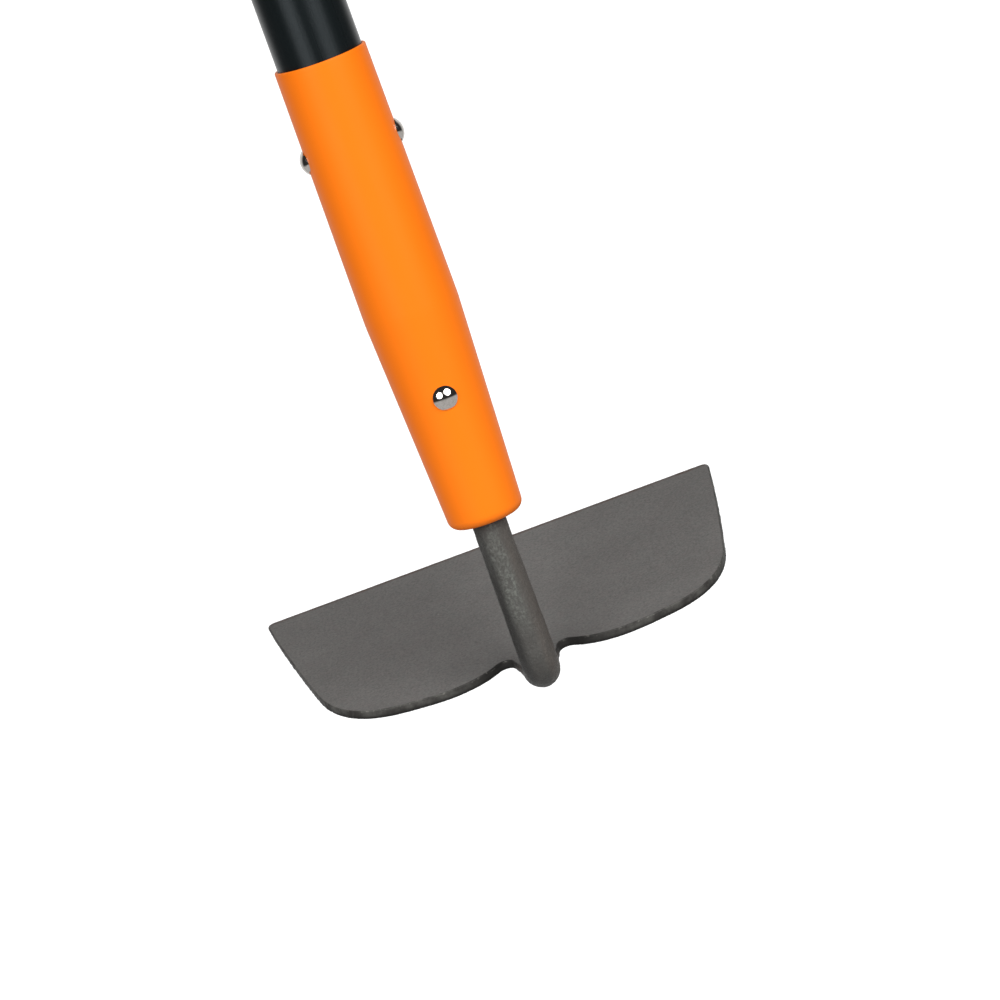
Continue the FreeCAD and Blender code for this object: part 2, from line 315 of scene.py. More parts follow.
def rough_depth(point, size):
    """A number from 0 to 1 that varies over a surface in lumps of a given size."""
    value = noise.fractal(point / size, ROUGH_DIMENSION, ROUGH_LACUNARITY, ROUGH_OCTAVES)
    return min(1.0, max(0.0, 0.5 + 0.5 * value))


def press_in(mesh, depth, size, lowest, highest):
    """Forges a surface: each vertex between two heights goes in by up to depth, so nothing stands proud."""
    normals = [vertex.normal.copy() for vertex in mesh.vertices]
    for vertex, normal in zip(mesh.vertices, normals):
        if lowest <= vertex.co.z <= highest:
            vertex.co -= normal * depth * rough_depth(vertex.co, size)
    mesh.update()


# ---------------------------------------------------------------- tube, ferrule, neck and weld

SEGMENTS_ROUND = 192
TUBE_STEP = 20 * MM          # the longest step along a piece

HOLE_ARC = 0.5 * MM
WAIST_ARC = 60 * MM
RIM_ARC = 0.45 * MM
BORE_ARC = 0.2 * MM
FERRULE_STEP = 4 * MM

BAR_STEPS = 420
ELBOW_STEPS = 60
BAR_SEGMENTS = 128
FORGED_WAVES = (0.22 * MM, 4.5 * MM)  # depth and size of the waves in the bar's outline
FORGED_PITS = (0.07 * MM, 1.1 * MM)

WELD_LENGTH = 5.5 * MM
WELD_OVERLAP = 0.9 * MM      # how far it starts before the end of the elbow
WELD_SUNK = 0.6 * MM         # how deep it lies in the bar there
WELD_SPREAD = 1.45 * MM      # how much wider it gets on each side
WELD_END_HEIGHT = 1.5 * MM
WELD_FALL = 1.6              # over 1 for a quick drop behind the elbow
WELD_SQUARING = 0.45         # 0 keeps the section round, 1 makes it square
WELD_LUMPS = (0.25 * MM, 4.5 * MM)
WELD_STEPS = 72
WELD_SEGMENTS = 200
BEAD_HEIGHT = 0.5 * MM
BEAD_MIDDLE = 0.22
BEAD_SPREAD = 0.2
BEAD_RIPPLES = 26
BEAD_SLANT = 9
BEAD_EVEN = 0.6              # the rest of its height ripples


def make_tube(material):
    outside = TUBE_RADIUS
    inside = outside - TUBE_WALL
    low = TUBE_LOW.z
    high = TUBE_HIGH.z
    corners = [(inside, low), (outside, low), (outside, high), (inside, high)]
    points = divided([Vector(corner) for corner in corners], TUBE_STEP)
    mesh = lathe("tube_look", points, SEGMENTS_ROUND, closed=True)
    add_piece("tube_look", mesh, "handle_tube", material)


def make_ferrule(material):
    """The sleeve's outside and the ends of its two bores, which a cone joins out of sight."""
    bore = TUBE_RADIUS + FIT_GAP
    waist = MOUTH - FERRULE_STRAIGHT
    hole = TANG_RADIUS + FIT_GAP
    points = rounded([
        (hole, FERRULE_END + FERRULE_END_WALL),
        (hole, FERRULE_END, HOLE_ARC),
        (FERRULE_END_RADIUS, FERRULE_END, FERRULE_END_ROUND),
        (FERRULE_WAIST_RADIUS, waist, WAIST_ARC),
        (FERRULE_MOUTH_RADIUS, MOUTH, RIM_ARC),
        (bore, MOUTH, BORE_ARC),
        (bore, waist),
    ], steps=14)
    mesh = lathe("ferrule_look", divided(points, FERRULE_STEP), SEGMENTS_ROUND, closed=True)
    add_piece("ferrule_look", mesh, "ferrule", material)


def round_section(angle, radius):
    return radius * math.cos(angle), radius * math.sin(angle)


def make_neck(material):
    """The tang and bar, then the elbow, as one bar whose surface shows the forging."""
    across = Vector((1, 0, 0))
    stations = []
    bar_length = TANG_TOP - BEND_HEIGHT
    for step in range(BAR_STEPS):
        height = TANG_TOP - bar_length * step / BAR_STEPS
        share = min(1.0, max(0.0, (FERRULE_END - height) / (FERRULE_END - BEND_HEIGHT)))
        radius = TANG_RADIUS + share * (ELBOW_RADIUS - TANG_RADIUS)
        stations.append((Vector((0, 0, height)), across, Vector((0, 1, 0)), (radius,)))
    elbow_turn = math.pi / 2 + BLADE_RISE
    for step in range(ELBOW_STEPS + 1):
        angle = elbow_turn * step / ELBOW_STEPS
        outwards = Vector((0, -math.cos(angle), -math.sin(angle)))
        centre = Vector((0, BEND_RADIUS, BEND_HEIGHT)) + outwards * BEND_RADIUS
        stations.append((centre, across, -outwards, (ELBOW_RADIUS,)))
    mesh = sweep("neck_look", stations, round_section, BAR_SEGMENTS)
    press_in(mesh, *FORGED_WAVES, LOWEST, FERRULE_END)
    press_in(mesh, *FORGED_PITS, LOWEST, FERRULE_END)
    add_piece("neck_look", mesh, "neck", material)


def weld_section(angle, share):
    """Round at the elbow, wide and flat where it sinks into the tab, with a rippled bead on it.

    A negative share is before the end of the elbow, where the weld sinks into the bar.
    """
    spread = max(0.0, share)
    sunk = WELD_SUNK * min(1.0, max(0.0, -share * WELD_LENGTH / WELD_OVERLAP))
    width = ELBOW_RADIUS + WELD_SPREAD * spread - sunk
    height = WELD_END_HEIGHT + (ELBOW_RADIUS - WELD_END_HEIGHT) * (1 - spread) ** WELD_FALL - sunk
    power = 1 - WELD_SQUARING * spread
    side = math.copysign(abs(math.cos(angle)) ** power, math.cos(angle))
    up = math.copysign(abs(math.sin(angle)) ** power, math.sin(angle))
    ripple = BEAD_EVEN + (1 - BEAD_EVEN) * math.sin(BEAD_RIPPLES * angle + BEAD_SLANT * share)
    bead = BEAD_HEIGHT * ripple * math.exp(-((share - BEAD_MIDDLE) / BEAD_SPREAD) ** 2)
    return width * side, (height + bead) * up


def make_weld(material):
    across = Vector((1, 0, 0))
    along = PLATE_FRAME.to_3x3() @ Vector((0, 1, 0))
    up = PLATE_FRAME.to_3x3() @ Vector((0, 0, 1))
    stations = []
    for step in range(WELD_STEPS + 1):
        share = (step / WELD_STEPS * (WELD_LENGTH + WELD_OVERLAP) - WELD_OVERLAP) / WELD_LENGTH
        stations.append((END_OF_ELBOW + along * WELD_LENGTH * share, across, up, (share,)))
    mesh = sweep("weld_look", stations, weld_section, WELD_SEGMENTS)
    press_in(mesh, *WELD_LUMPS, LOWEST, FERRULE_END)
    add_piece("weld_look", mesh, "neck_weld", material)


# ---------------------------------------------------------------- blade

PLATE_TOP = 1.6 * MM
PLATE_THICK = 3.2 * MM
PLATE_THIN = 2.2 * MM
PLATE_EDGE = 0.6 * MM
BLADE_REACH = 100.4 * MM
GRIND_LENGTH = 9.0 * MM
GRIND_START = BLADE_REACH - GRIND_LENGTH
OUTLINE_STEP = 0.4 * MM
OUTLINE_SMOOTHINGS = 4
BEVEL_STEPS = 5
WALL_STEPS = 5
BEVEL_MARGIN = 1.0           # how far beyond its bevels the rim's paint fades, in bevels
BEVEL_LARGEST = 0.4 * MM
BEVEL_SHARE = 0.35           # of the plate's thickness, where the plate is thin
RIM_WAVES = (0.25 * MM, 3.0 * MM)  # depth and size
RIM_NICKS = (0.16 * MM, 1.1 * MM)
FLAT_NORMAL = 0.999          # a face is flat on top if its normal's Z is above this


def plate_thickness(along):
    """Thickness of the plate at a distance from the elbow: it thins slowly, then quickly at the grinding."""
    if along < GRIND_START:
        return PLATE_THICK + (PLATE_THIN - PLATE_THICK) * along / GRIND_START
    return PLATE_THIN + (PLATE_EDGE - PLATE_THIN) * (along - GRIND_START) / GRIND_LENGTH


def upper_face_outline():
    """The outline of the CAD blade's upper face, as points in order in the plate's own frame."""
    solid = bmesh.new()
    solid.from_mesh(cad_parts["blade"].data)
    solid.transform(PLATE_FRAME.inverted())
    bmesh.ops.remove_doubles(solid, verts=solid.verts, dist=MERGE_DISTANCE)
    solid.normal_update()
    upper = {face for face in solid.faces if face.normal.z > FLAT_NORMAL and face.calc_center_median().z > 0}
    rim = [edge for edge in solid.edges if sum(face in upper for face in edge.link_faces) == 1]
    next_to = {}
    for edge in rim:
        first, second = edge.verts
        next_to.setdefault(first, []).append(second)
        next_to.setdefault(second, []).append(first)
    start = rim[0].verts[0]
    loop = [start]
    here = next_to[start][0]
    while here is not start:
        loop.append(here)
        here = next(vertex for vertex in next_to[here] if vertex is not loop[-2])
    points = [Vector((vertex.co.x, vertex.co.y)) for vertex in loop]
    solid.free()
    return points


def even_loop(points, spacing, smoothings):
    """The closed loop with evenly spaced points, smoothed a little to take the facets away."""
    closed = points + [points[0]]
    lengths = [(b - a).length for a, b in zip(closed, closed[1:])]
    count = round(sum(lengths) / spacing)
    step = sum(lengths) / count
    result = []
    index = 0
    passed = 0.0
    for number in range(count):
        target = number * step
        while passed + lengths[index] < target:
            passed += lengths[index]
            index += 1
        result.append(closed[index].lerp(closed[index + 1], (target - passed) / lengths[index]))
    for _ in range(smoothings):
        result = [(result[i - 1] + 2 * result[i] + result[(i + 1) % count]) / 4 for i in range(count)]
    return result


def rim_plan():
    """The rings of the blade's rim from the lower face to the upper one, each with its paint marks.

    A ring is set in by a number of bevels, lies a share of the way up, and is lifted by a number
    of bevels. Its marks are wear, rim and painted_shade_under; rim and painted_shade_under carry painted
    shade.
    """
    quarter = []
    for step in range(BEVEL_STEPS + 1):
        angle = math.pi / 2 * step / BEVEL_STEPS
        quarter.append((1 - math.sin(angle), 1 - math.cos(angle)))
    plan = [(1 + BEVEL_MARGIN, 0.0, 0.0, 0.0, 0.0, 0.0)]
    plan += [(inset, 0.0, lift, 0.0, 1.0, 1.0) for inset, lift in quarter]
    for step in range(1, WALL_STEPS):
        share = step / WALL_STEPS
        plan.append((0.0, share, 1 - 2 * share, 0.0, 1.0, max(0.0, 1 - 2 * share)))
    plan += [(inset, 1.0, -lift, 1.0, 1.0, 0.0) for inset, lift in reversed(quarter)]
    plan.append((1 + BEVEL_MARGIN, 1.0, 0.0, 0.0, 0.0, 0.0))
    return plan


def rim_point(point, outward, inset, side, lift, rim):
    """A point of a rim ring, in the plate's own frame. The rim is a little rough, as a cut edge is."""
    wave_depth, wave_size = RIM_WAVES
    nick_depth, nick_size = RIM_NICKS
    bevel = min(BEVEL_LARGEST, BEVEL_SHARE * plate_thickness(point.y))
    place = Vector((point.x, point.y, 0))
    rough = max(0.0, 1 - inset) * wave_depth * rough_depth(place, wave_size)
    rough += rim * nick_depth * rough_depth(place + Vector((0, 0, side * wave_size)), nick_size)
    flat = point - outward * (bevel * inset + rough)
    bottom = PLATE_TOP - plate_thickness(flat.y)
    return Vector((flat.x, flat.y, bottom + (PLATE_TOP - bottom) * side + bevel * lift))


def make_blade(material):
    """Rings round the rim, closed by the two faces. The lower face is split where the grinding starts."""
    loop = even_loop(upper_face_outline(), OUTLINE_STEP, OUTLINE_SMOOTHINGS)
    count = len(loop)
    area = sum(loop[i - 1].cross(loop[i]) for i in range(count))
    if area < 0:  # so that it always runs anticlockwise
        loop.reverse()
    grind_ends = []
    for side in (-1, 1):
        candidates = [i for i in range(count) if loop[i].x * side > 0]
        grind_ends.append(min(candidates, key=lambda i: abs(loop[i].y - GRIND_START)))
        loop[grind_ends[-1]].y = GRIND_START
    outwards = []
    for i in range(count):
        tangent = (loop[(i + 1) % count] - loop[i - 1]).normalized()
        outwards.append(Vector((tangent.y, -tangent.x)))
    solid = bmesh.new()
    marks = [solid.verts.layers.float.new(name) for name in ("wear", "rim", "painted_shade_under")]
    ground_mark = solid.faces.layers.float.new("ground")
    rings = []
    for inset, side, lift, wear, rim, painted_shade_under in rim_plan():
        ring = []
        for point, outward in zip(loop, outwards):
            vertex = solid.verts.new(PLATE_FRAME @ rim_point(point, outward, inset, side, lift, rim))
            for layer, value in zip(marks, (wear, rim, painted_shade_under)):
                vertex[layer] = value
            ring.append(vertex)
        rings.append(ring)
    for low, high in zip(rings, rings[1:]):
        for i in range(count):
            j = (i + 1) % count
            solid.faces.new((low[i], low[j], high[j], high[i]))
    solid.faces.new(rings[-1])
    underside = solid.faces.new(list(reversed(rings[0])))
    ends = [rings[0][i] for i in grind_ends]
    halves = (underside, bmesh.utils.face_split(underside, *ends)[0])
    max(halves, key=lambda face: face.calc_center_median().y)[ground_mark] = 1.0
    bmesh.ops.recalc_face_normals(solid, faces=solid.faces)
    for edge in solid.edges:
        edge.smooth = edge.calc_face_angle(0) < SMOOTH_ANGLE
    solid.edges.get(ends).smooth = False
    for face in solid.faces:
        face.smooth = True
    mesh = bpy.data.meshes.new("blade_look")
    solid.to_mesh(mesh)
    solid.free()
    add_shaded("blade_look", mesh, "blade", material)


# ---------------------------------------------------------------- rivets, grip and cap

RIVET_RIM = 0.2 * MM         # the rim of a head stands this far off the ferrule
DOME_STEPS = 24
RIVET_SEGMENTS = 96

GRIP_SEGMENTS = 160
GRIP_STEP = 8 * MM
GRIP_TAPER = 14 * MM
GRIP_TAPERS_BY = 1 * MM      # off its radius, at both ends
GRIP_TAPER_ARC = 40 * MM
GRIP_END_ARC = 0.8 * MM
GROOVE_COUNT = 9
GROOVE_PITCH = 12 * MM
GROOVE_WIDTH = 3.0 * MM
GROOVE_DEPTH = 0.7 * MM
GROOVE_ARC = 0.5 * MM

FLAT_ANGLE = math.radians(1)
CAP_ROUNDING = 0.5 * MM
CAP_EDGE_ANGLE = math.radians(50)


def make_rivet(node, axis, material):
    """A rivet with two polished domes, along X or Y. Their rims stand a little off the ferrule."""
    low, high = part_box(node)
    centre = (low + high) / 2
    crown = (high - low)[axis] / 2
    on_surface = crown - RIVET_PROUD
    seat = math.sqrt(on_surface ** 2 - RIVET_HEAD_RADIUS ** 2)
    rim = on_surface + RIVET_RIM
    dome = crown - rim
    ball = (RIVET_HEAD_RADIUS ** 2 + dome ** 2) / (2 * dome)
    widest = math.asin(RIVET_HEAD_RADIUS / ball)
    head = []
    for step in range(DOME_STEPS + 1):
        angle = widest * step / DOME_STEPS
        head.append(Vector((ball * math.sin(angle), crown - ball * (1 - math.cos(angle)))))
    head.append(Vector((RIVET_HEAD_RADIUS, seat)))
    head.append(Vector((RIVET_SHANK_RADIUS, seat)))
    other_head = [Vector((point.x, -point.y)) for point in reversed(head)]
    name = node + "_look"
    mesh = lathe(name, head + other_head, RIVET_SEGMENTS)
    turn = Matrix.Rotation(math.pi / 2, 4, "Y" if axis == 0 else "X")
    mesh.transform(Matrix.Translation(centre) @ turn)
    add_piece(name, mesh, node, material)


def make_grip(material):
    """The soft sleeve, with a run of shallow rings in its middle."""
    low = GRIP_LOW.z
    high = GRIP_HIGH.z
    middle = (low + high) / 2
    outside = GRIP_HIGH.x
    end = outside - GRIP_TAPERS_BY
    floor = outside - GROOVE_DEPTH
    bore = TUBE_RADIUS + FIT_GAP
    corners = [(bore, low), (end, low, GRIP_END_ARC), (outside, low + GRIP_TAPER, GRIP_TAPER_ARC)]
    for index in range(GROOVE_COUNT):
        height = middle + (index - (GROOVE_COUNT - 1) / 2) * GROOVE_PITCH
        corners.append((outside, height - GROOVE_WIDTH / 2, GROOVE_ARC))
        corners.append((floor, height - GROOVE_WIDTH / 6, GROOVE_ARC))
        corners.append((floor, height + GROOVE_WIDTH / 6, GROOVE_ARC))
        corners.append((outside, height + GROOVE_WIDTH / 2, GROOVE_ARC))
    corners += [(outside, high - GRIP_TAPER, GRIP_TAPER_ARC), (end, high, GRIP_END_ARC), (bore, high)]
    points = divided(rounded(corners, steps=6), GRIP_STEP)
    mesh = lathe("grip_look", points, GRIP_SEGMENTS, closed=True)
    add_piece("grip_look", mesh, "grip_sleeve", material)


def make_cap(material):
    """The end cap, from its CAD shape with its moulded edges rounded off."""
    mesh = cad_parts["end_cap"].data.copy()
    mesh.name = "cap_look"
    mesh.materials.clear()
    solid = bmesh.new()
    solid.from_mesh(mesh)
    bmesh.ops.remove_doubles(solid, verts=solid.verts, dist=MERGE_DISTANCE)
    bmesh.ops.dissolve_limit(solid, angle_limit=FLAT_ANGLE, verts=solid.verts, edges=solid.edges)
    solid.to_mesh(mesh)
    solid.free()
    piece = add_piece("cap_look", mesh, "end_cap", material)
    rounding = piece.modifiers.new("rounding", "BEVEL")
    rounding.width = CAP_ROUNDING
    rounding.segments = 3
    rounding.limit_method = "ANGLE"
    rounding.angle_limit = CAP_EDGE_ANGLE


# ---------------------------------------------------------------- materials

def new_paint(name):
    """A new material, its node tree and its shader."""
    material = bpy.data.materials.new(name)
    material.use_nodes = True
    return material, material.node_tree, material.node_tree.nodes["Principled BSDF"]


def add_node(tree, kind, values=None, sources=None, **options):
    """A node with its options, its constant inputs and its linked inputs."""
    node = tree.nodes.new(kind)
    for key, value in options.items():
        setattr(node, key, value)
    for key, value in (values or {}).items():
        node.inputs[key].default_value = value
    for key, source in (sources or {}).items():
        tree.links.new(source, node.inputs[key])
    return node


def place_on(tree):
    return add_node(tree, "ShaderNodeTexCoord").outputs["Object"]


def axes_of(tree):
    return add_node(tree, "ShaderNodeSeparateXYZ", sources={"Vector": place_on(tree)}).outputs


def grain(tree, size, detail=4.0, roughness=0.55, stretch=(1, 1, 1)):
    """Noise in lumps of a size in metres, stretched along the axes."""
    place = place_on(tree)
    scale = tuple(1 / (size * along) for along in stretch)
    placed = add_node(tree, "ShaderNodeMapping", {"Scale": scale}, {"Vector": place})
    values = {"Scale": 1.0, "Detail": detail, "Roughness": roughness}
    return add_node(tree, "ShaderNodeTexNoise", values, {"Vector": placed.outputs["Vector"]}).outputs["Fac"]


def remap(tree, value, low, high, to_low=0.0, to_high=1.0):
    """A value carried from one range to another and held at its ends. Either range may run down."""
    values = {"From Min": low, "From Max": high, "To Min": to_low, "To Max": to_high}
    node = add_node(tree, "ShaderNodeMapRange", values, {"Value": value})
    return node.outputs["Result"]


def times(tree, value, factor):
    """A value times a constant or another socket."""
    node = add_node(tree, "ShaderNodeMath", operation="MULTIPLY")
    tree.links.new(value, node.inputs[0])
    if isinstance(factor, float):
        node.inputs[1].default_value = factor
    else:
        tree.links.new(factor, node.inputs[1])
    return node.outputs["Value"]


def between(tree, factor, first, second):
    """A colour mixed from two colours or sockets."""
    node = add_node(tree, "ShaderNodeMix", data_type="RGBA")
    tree.links.new(factor, node.inputs["Factor"])
    sockets = [socket for socket in node.inputs if socket.type == "RGBA"]
    for socket, colour in zip(sockets, (first, second)):
        if isinstance(colour, tuple):
            socket.default_value = (*colour, 1)
        else:
            tree.links.new(colour, socket)
    return next(socket for socket in node.outputs if socket.type == "RGBA")


def bump(tree, height, distance, strength, below=None):
    """A normal from a height, over the normal below it if there is one."""
    values = {"Distance": distance, "Strength": strength}
    sources = {"Height": height}
    if below is not None:
        sources["Normal"] = below
    return add_node(tree, "ShaderNodeBump", values, sources).outputs["Normal"]


def mark(tree, name):
    """A mark that make_blade left on the mesh."""
    return add_node(tree, "ShaderNodeAttribute", attribute_name=name).outputs["Fac"]


ENAMEL_DARK = (0.110, 0.105, 0.100)
ENAMEL_PALE = (0.138, 0.133, 0.127)
ENAMEL_WARM = (0.130, 0.117, 0.113)
ENAMEL_COOL = (0.108, 0.112, 0.106)
ENAMEL_SPECK = (0.062, 0.060, 0.057)
ENAMEL_CHIP = (0.21, 0.20, 0.185)
# Painted shade for the blade's rim: dark with paler patches, darker beside the notches
RIM_PAINTED_SHADE_DARK = (0.026, 0.024, 0.022)
RIM_PAINTED_SHADE_PALE = (0.070, 0.068, 0.062)
RIM_NOTCH_PAINTED_SHADE = (0.013, 0.012, 0.011)
RIM_WORN = (0.20, 0.195, 0.175)
SHADED_SIDE = (0.005, 0.005, 0.004)
GROUND_DARK = (0.30, 0.29, 0.28)
GROUND_PALE = (0.52, 0.51, 0.49)
EDGE_RUST = (0.058, 0.036, 0.026)
RUST_WIDTH = 2.4 * MM
NOTCH_SHADE_FROM = 34 * MM        # from the middle of the blade
NOTCH_SHADE_TO = 16 * MM

BAR_BROWN = (0.054, 0.048, 0.043)
BAR_GREY = (0.066, 0.064, 0.058)
BAR_SCALE_AND_HIGHLIGHT = (0.150, 0.158, 0.140)
BAR_RUSTY = (0.085, 0.073, 0.063)
BAR_PAINTED_SHADE = (0.024, 0.023, 0.021)
BAR_SPECK = (0.040, 0.038, 0.035)
SCALE_AND_HIGHLIGHT_LOWEST = BEND_HEIGHT + 5 * MM
SCALE_AND_HIGHLIGHT_FULL = BEND_HEIGHT + 22 * MM

WELD_DARK = (0.036, 0.030, 0.027)
WELD_PALE = (0.105, 0.088, 0.080)
WELD_SPECK = (0.030, 0.028, 0.026)

ORANGE_DARK = (0.85, 0.172, 0.004)
ORANGE_PALE = (0.88, 0.182, 0.005)

TUBE_BLACK = (0.0015, 0.0030, 0.0036)
TUBE_LINE = (0.0030, 0.0050, 0.0056)
TUBE_GRIT = (0.0060, 0.0085, 0.0090)
TUBE_SHEEN = (0.86, 0.95, 1.0, 1)

STEEL_BRIGHT = (0.78, 0.735, 0.69)
STEEL_DULL = (0.60, 0.56, 0.52)
RUBBER_DARK = (0.020, 0.020, 0.021)
RUBBER_PALE = (0.030, 0.030, 0.031)
PLASTIC_DARK = (0.018, 0.018, 0.019)
PLASTIC_PALE = (0.026, 0.026, 0.027)


def enamel_face(tree, speckle):
    """The blade's flat enamel: drifts of two greys and two tints, with specks and a few chips."""
    clouds = remap(tree, grain(tree, 22 * MM, detail=3.0), 0.3, 0.7)
    warm = remap(tree, grain(tree, 4 * MM, roughness=0.7), 0.45, 0.65, 0.0, 0.6)
    cool = remap(tree, grain(tree, 3 * MM, roughness=0.7, stretch=(1.3, 1, 1)), 0.48, 0.66, 0.0, 0.5)
    chips = remap(tree, grain(tree, 1.1 * MM, detail=2.0, roughness=0.5), 0.73, 0.77, 0.0, 0.7)
    face = between(tree, clouds, ENAMEL_DARK, ENAMEL_PALE)
    face = between(tree, warm, face, ENAMEL_WARM)
    face = between(tree, cool, face, ENAMEL_COOL)
    face = between(tree, times(tree, speckle, 0.65), face, ENAMEL_SPECK)
    return between(tree, chips, face, ENAMEL_CHIP)


def painted_rim_shade(tree, axes):
    """Painted shade round the rim, in random dark and pale patches, and darker painted shade beside the
    notches.
    """
    patches = grain(tree, 7 * MM, detail=5.0, roughness=0.7)
    rim = between(tree, remap(tree, patches, 0.40, 0.60), RIM_PAINTED_SHADE_DARK, RIM_PAINTED_SHADE_PALE)
    aside = add_node(tree, "ShaderNodeMath", operation="ABSOLUTE", sources={0: axes["X"]}).outputs["Value"]
    notch_shade = remap(tree, aside, NOTCH_SHADE_FROM, NOTCH_SHADE_TO, 0.0, 0.85)
    return between(tree, notch_shade, rim, RIM_NOTCH_PAINTED_SHADE)


def blade_paint():
    """Dull grey enamel on sheet steel, with painted shade round the rim that is darkest beside the notches
    and along the lower arris, worn in spots on its upper edge.

    It is bare where the blade is ground, and rusty along the cutting edge.
    """
    material, tree, shader = new_paint("blade_paint")
    axes = axes_of(tree)
    speckle = remap(tree, grain(tree, 0.8 * MM, roughness=0.7), 0.32, 0.68)
    # The rim mark puts painted shade on the rim's bevels and walls in place of the enamel's colour
    coat_and_shade = between(tree, mark(tree, "rim"), enamel_face(tree, speckle), painted_rim_shade(tree, axes))
    # Painted shade: near black on the lower bevel, fading out up the lower part of the wall
    coat_and_shade = between(tree, mark(tree, "painted_shade_under"), coat_and_shade, SHADED_SIDE)
    spots = remap(tree, grain(tree, 1.6 * MM, detail=5.0, roughness=0.75), 0.56, 0.66)
    worn = times(tree, mark(tree, "wear"), spots)
    scratches = grain(tree, 0.35 * MM, detail=3.0, roughness=0.6, stretch=(1, 40, 40))
    bare = between(tree, scratches, GROUND_DARK, GROUND_PALE)
    colour = between(tree, times(tree, worn, 0.6), coat_and_shade, RIM_WORN)
    colour = between(tree, mark(tree, "ground"), colour, bare)
    edge = remap(tree, axes["Y"], cad_high.y - RUST_WIDTH, cad_high.y - RUST_WIDTH / 2)
    rust = remap(tree, grain(tree, 9 * MM, detail=5.0, roughness=0.7), 0.36, 0.62, 0.35, 1.0)
    colour = between(tree, times(tree, edge, rust), colour, EDGE_RUST)
    tree.links.new(colour, shader.inputs["Base Color"])
    tree.links.new(remap(tree, speckle, 0.0, 1.0, 0.5, 0.66), shader.inputs["Roughness"])
    tree.links.new(times(tree, mark(tree, "ground"), 0.9), shader.inputs["Metallic"])
    shader.inputs["Specular IOR Level"].default_value = 0.3
    fine = grain(tree, 0.45 * MM, detail=3.0, roughness=0.6)
    lumps = grain(tree, 2.4 * MM, roughness=0.65)
    small = bump(tree, fine, 0.03 * MM, 0.7)
    tree.links.new(bump(tree, lumps, 0.04 * MM, 0.4, small), shader.inputs["Normal"])
    return material


def forged_paint():
    """The same enamel over a forged bar: pitted, with streaks along it and paler scale above the bend. The
    pale scale is kept to the middle strip as a painted highlight, and a dark band down the -X side is painted
    shade.
    """
    material, tree, shader = new_paint("forged_paint")
    axes = axes_of(tree)
    above = remap(tree, axes["Z"], SCALE_AND_HIGHLIGHT_LOWEST, SCALE_AND_HIGHLIGHT_FULL)
    scale = remap(tree, grain(tree, 0.9 * MM, detail=5.0, roughness=0.75, stretch=(1, 1, 1.3)), 0.43, 0.59)
    drifts = remap(tree, grain(tree, 9 * MM, detail=3.0, roughness=0.5, stretch=(0.7, 0.7, 2.5)), 0.25, 0.52)
    speckle = remap(tree, grain(tree, 0.7 * MM, roughness=0.7), 0.35, 0.68)
    wander = grain(tree, 4 * MM, roughness=0.6, stretch=(1, 1, 4))
    colour = between(tree, drifts, BAR_BROWN, BAR_GREY)
    # Painted highlight: the pale scale fades out towards the bar's +X side, so it stays in the strip where
    # light falls
    middle = remap(tree, axes["X"], 0.8 * MM, 2.6 * MM, 1.0, 0.2)
    scale_and_highlight = times(tree, times(tree, scale, above), times(tree, drifts, middle))
    colour = between(tree, scale_and_highlight, colour, BAR_SCALE_AND_HIGHLIGHT)
    rusty_side = remap(tree, axes["X"], 0.8 * MM, 3.0 * MM)
    rusty = times(tree, rusty_side, remap(tree, wander, 0.3, 0.6, 0.4, 1.0))
    colour = between(tree, rusty, colour, BAR_RUSTY)
    # Painted shade: a streaky dark band down the bar's -X side
    shade_side = remap(tree, axes["X"], -2.4 * MM, -4.4 * MM)
    black = times(tree, shade_side, remap(tree, wander, 0.3, 0.55, 0.6, 1.0))
    colour = between(tree, black, colour, BAR_PAINTED_SHADE)
    colour = between(tree, times(tree, speckle, 0.55), colour, BAR_SPECK)
    tree.links.new(colour, shader.inputs["Base Color"])
    tree.links.new(remap(tree, speckle, 0.0, 1.0, 0.42, 0.62), shader.inputs["Roughness"])
    shader.inputs["Specular IOR Level"].default_value = 0.4
    lumps = grain(tree, 3.6 * MM, roughness=0.6)
    small = bump(tree, scale, 0.14 * MM, 0.8)
    tree.links.new(bump(tree, lumps, 0.10 * MM, 0.6, small), shader.inputs["Normal"])
    return material


def weld_paint():
    """Dark brown, with a few paler beads."""
    material, tree, shader = new_paint("weld_paint")
    beads = remap(tree, grain(tree, 2.2 * MM, roughness=0.65), 0.52, 0.66)
    speckle = remap(tree, grain(tree, 0.6 * MM, roughness=0.7), 0.35, 0.68)
    colour = between(tree, beads, WELD_DARK, WELD_PALE)
    colour = between(tree, times(tree, speckle, 0.4), colour, WELD_SPECK)
    tree.links.new(colour, shader.inputs["Base Color"])
    tree.links.new(remap(tree, speckle, 0.0, 1.0, 0.5, 0.66), shader.inputs["Roughness"])
    shader.inputs["Specular IOR Level"].default_value = 0.3
    tree.links.new(bump(tree, beads, 0.08 * MM, 0.6), shader.inputs["Normal"])
    return material


def ferrule_plastic():
    """Satin orange moulded plastic, with a faint mould texture and rubbed patches."""
    material, tree, shader = new_paint("ferrule_plastic")
    clouds = remap(tree, grain(tree, 30 * MM, detail=3.0, roughness=0.5, stretch=(1, 1, 3)), 0.3, 0.7)
    fine = grain(tree, 0.35 * MM, detail=2.0)
    rubs = remap(tree, grain(tree, 5 * MM, detail=5.0, roughness=0.7, stretch=(1, 1, 4)), 0.5, 0.75)
    tree.links.new(between(tree, clouds, ORANGE_DARK, ORANGE_PALE), shader.inputs["Base Color"])
    tree.links.new(remap(tree, rubs, 0.0, 1.0, 0.40, 0.46), shader.inputs["Roughness"])
    shader.inputs["Specular IOR Level"].default_value = 0.16
    tree.links.new(bump(tree, fine, 0.012 * MM, 0.5), shader.inputs["Normal"])
    return material


